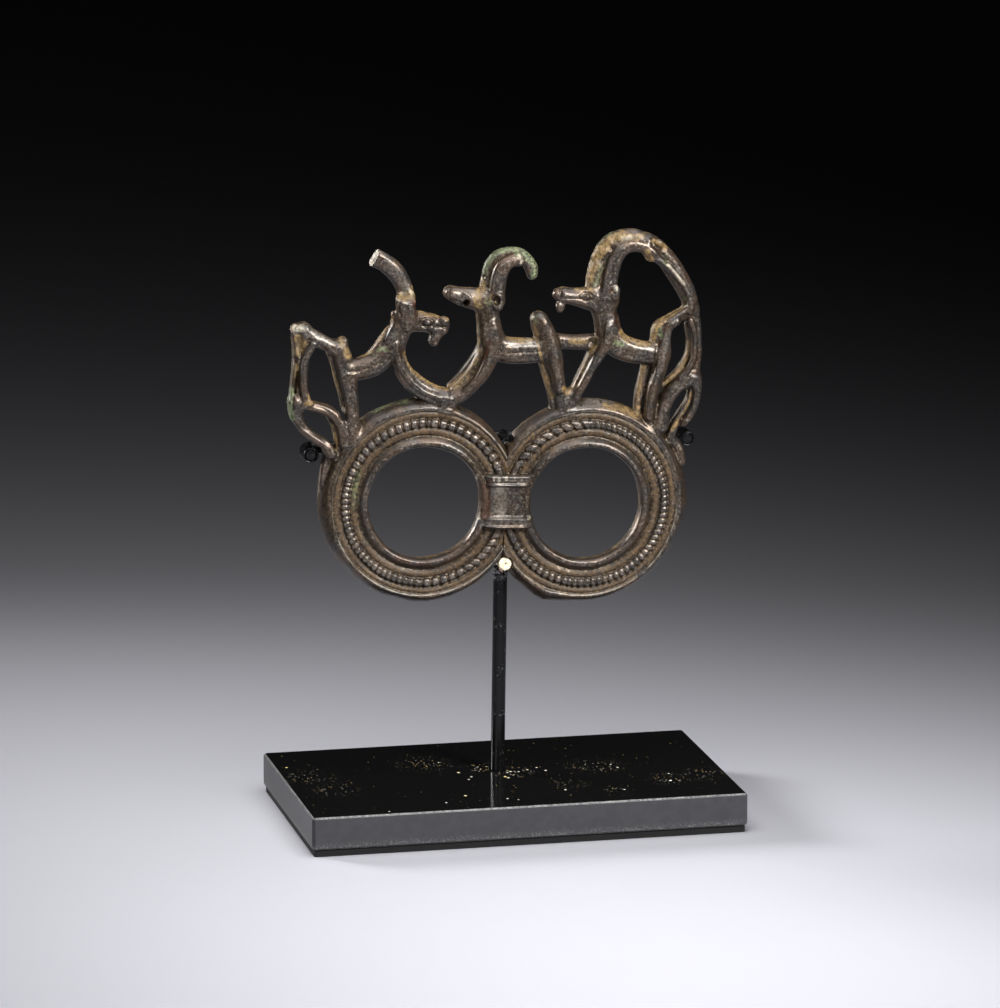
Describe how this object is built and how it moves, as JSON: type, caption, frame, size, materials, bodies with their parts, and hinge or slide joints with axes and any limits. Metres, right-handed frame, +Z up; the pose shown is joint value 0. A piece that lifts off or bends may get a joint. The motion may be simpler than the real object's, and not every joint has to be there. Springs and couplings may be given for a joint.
{
  "type": "harness fitting",
  "caption": "Cast bronze harness fitting with paired rein rings joined by a collar, topped by ibexes and beasts, held by pegs on a black museum stand.",
  "frame": {"origin": "floor point under the middle of the stand's base block", "axes": "+X to the viewer's right along the base's long side, +Y away from the viewer, +Z up"},
  "size_m": [0.127, 0.0762, 0.1715],
  "materials": {
    "bronze": "dark brown-grey patina, semi-gloss, worn and pitted",
    "bronze_brown": "warm brown patina with ochre in the grooves",
    "bronze_green": "pale grey-green patina, satin",
    "acrylic": "polished black top with satin sides",
    "felt": "black felt",
    "black_coat": "gloss black",
    "black_sleeve": "glossy black shrink tube",
    "bare_brass": "bare pinkish metal",
    "cream_tip": "cream padding disc"
  },
  "bodies": {
    "stand": {"felt_pad": "felt", "base_block": "acrylic", "mount_rod": "black_coat", "rod_sheath": "black_sleeve", "cross_wire": "black_coat", "spine_wire": "black_coat", "upper_peg": "black_coat", "lower_peg": "bare_brass", "left_sleeve": "black_sleeve", "right_sleeve": "black_sleeve", "upper_sleeve": "black_sleeve", "lower_sleeve": "cream_tip"},
    "fitting": {"left_ring": "bronze", "right_ring": "bronze_brown", "collar_barrel": "bronze_brown", "collar_upper_band": "bronze_brown", "collar_lower_band": "bronze_brown", "left_ibex_body": "bronze", "left_ibex_horn_stump": "bronze", "left_ibex_head": "bronze", "left_ibex_horn": "bronze_green", "left_ibex_hindleg": "bronze", "left_ibex_far_hindleg": "bronze", "left_ibex_foreleg": "bronze", "left_hooves": "bronze", "left_beast_body": "bronze", "left_beast_arm": "bronze", "left_beast_outer_leg": "bronze", "left_beast_inner_leg": "bronze", "middle_ibex_body": "bronze", "middle_ibex_head": "bronze", "middle_ibex_horn": "bronze_green", "middle_ibex_ear": "bronze", "middle_ibex_hindleg": "bronze", "middle_ibex_far_hindleg": "bronze", "middle_ibex_foreleg": "bronze", "middle_ibex_far_foreleg": "bronze", "right_ibex_body": "bronze", "right_ibex_head": "bronze", "right_ibex_horn": "bronze_green", "right_ibex_ear": "bronze", "right_ibex_hindleg": "bronze", "right_ibex_far_hindleg": "bronze", "right_ibex_foreleg": "bronze", "right_hooves": "bronze", "tie_bar": "bronze_brown", "right_beast_body": "bronze", "right_beast_neck": "bronze", "right_beast_arm": "bronze", "right_beast_thigh": "bronze", "right_beast_leg": "bronze"}
  },
  "joints": [
    {"name": "fitting_slide", "type": "slide", "parent": "stand", "child": "fitting", "axis": [0, -1, 0], "range_m": [0, 0.02]}
  ]
}
